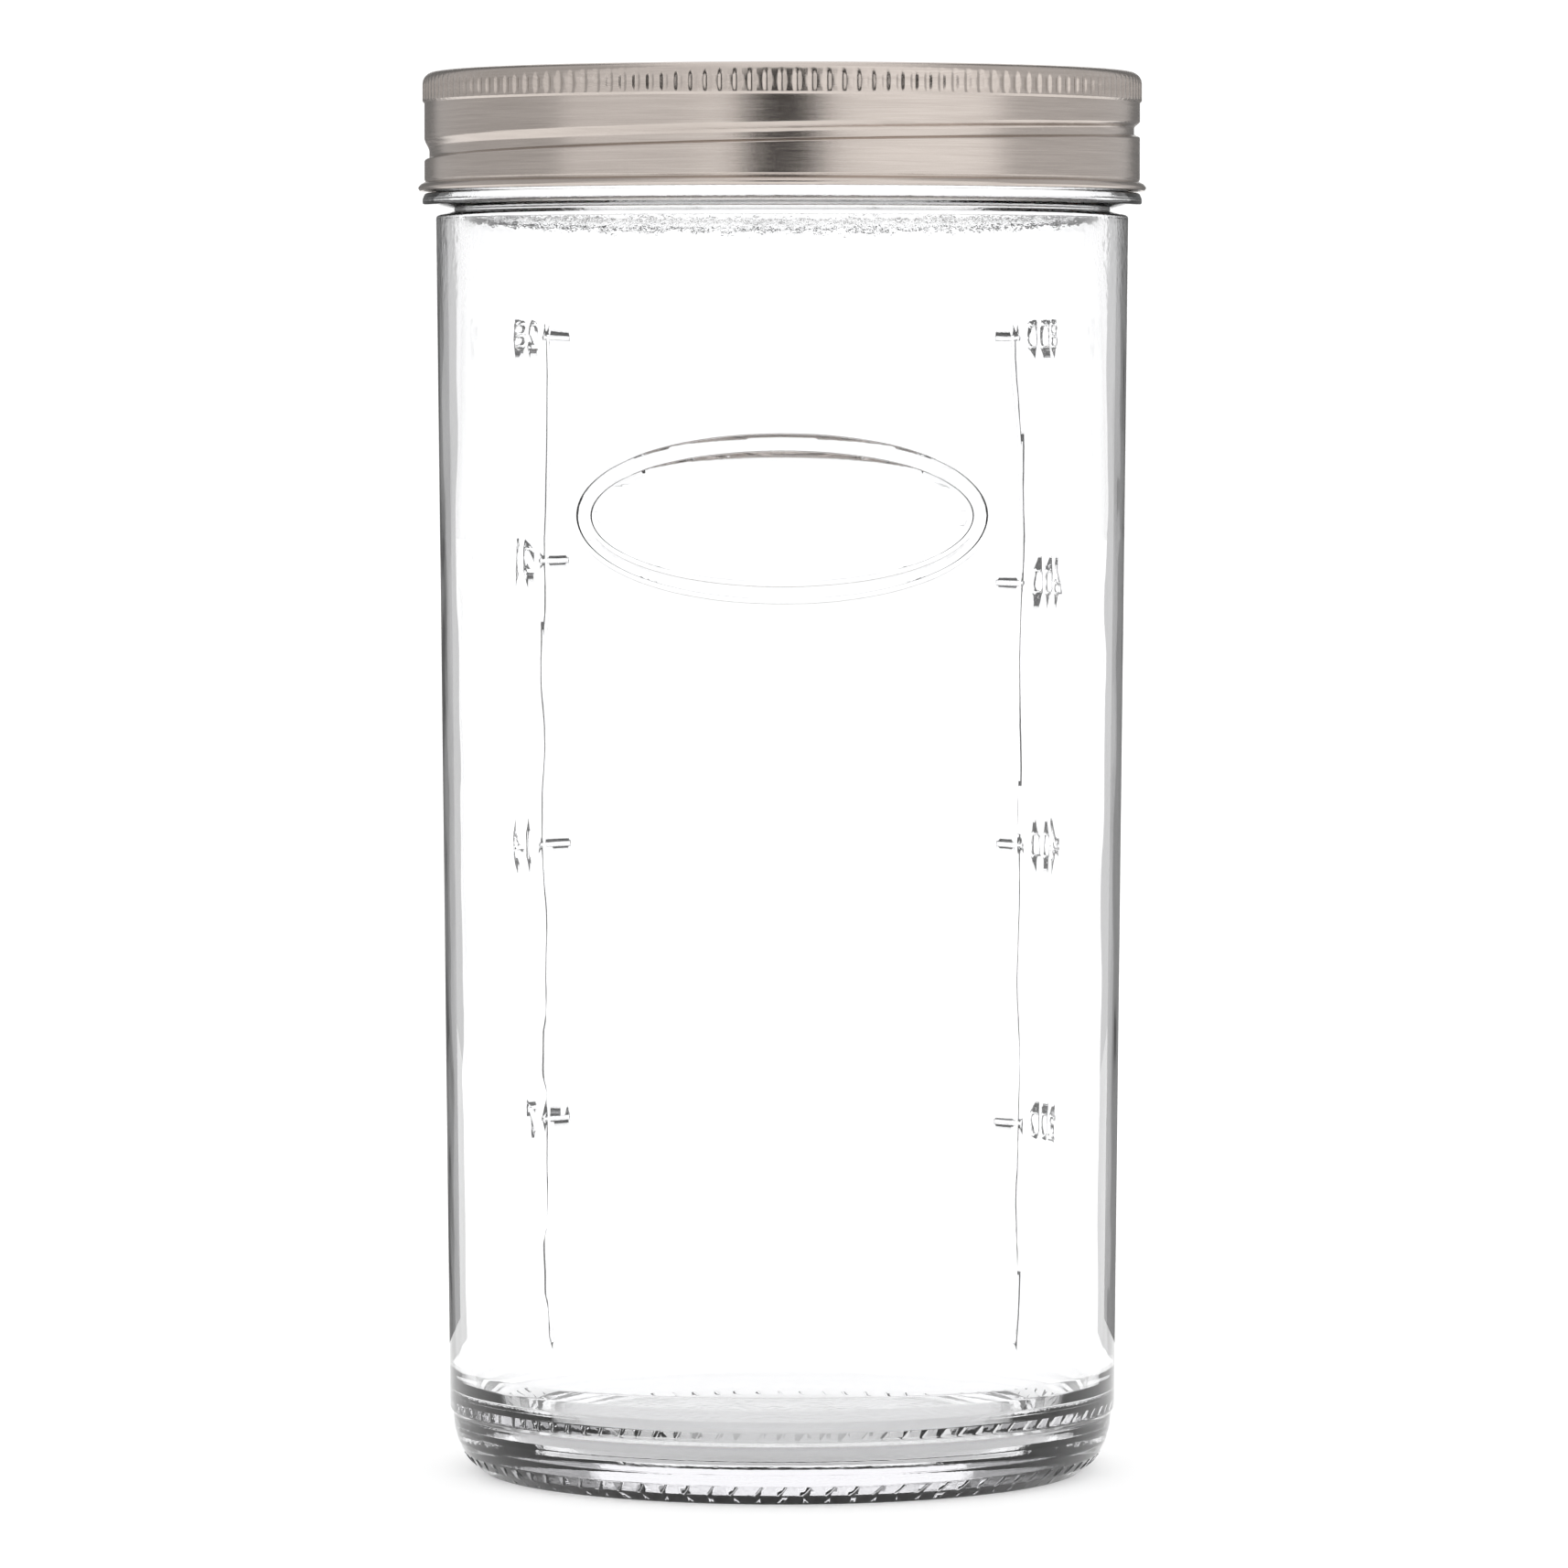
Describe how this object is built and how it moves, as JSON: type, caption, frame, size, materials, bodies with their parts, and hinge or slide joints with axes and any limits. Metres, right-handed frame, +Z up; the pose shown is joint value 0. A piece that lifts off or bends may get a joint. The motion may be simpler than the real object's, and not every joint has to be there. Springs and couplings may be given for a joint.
{
  "type": "fermentation jar",
  "caption": "Tall straight-sided glass jar with a rounded heel, closed by a steel lid disc with a sealing ring and a fluted steel screw band.",
  "frame": {"origin": "centre of the ring that the jar stands on, at the surface below it", "axes": "+Z up along the jar's axis towards the lid, the front of the jar faces -Y, +X to its right"},
  "size_m": [0.097, 0.097, 0.1865],
  "materials": {
    "glass": "clear, pressed and fire polished",
    "band_steel": "brushed round the band",
    "lid_steel": "bright rolled sheet",
    "seal_rubber": "smooth"
  },
  "bodies": {
    "jar": {"glass_jar": "glass"},
    "lid": {"lid_disc": "lid_steel", "sealing_ring": "seal_rubber"},
    "band": {"screw_band": "band_steel"}
  },
  "joints": [
    {"name": "lid_rise", "type": "slide", "parent": "jar", "child": "lid", "axis": [0, 0, 1], "range_m": [0, 0.0255]},
    {"name": "band_turn", "type": "hinge", "parent": "lid", "child": "band", "pos_m": [0, 0, 0.18], "axis": [0, 0, 1], "range_deg": [0, 1440]}
  ],
  "couplings": [
    {"joint": "lid_rise", "follows": "band_turn", "m_per_rad": 0.0010106}
  ]
}
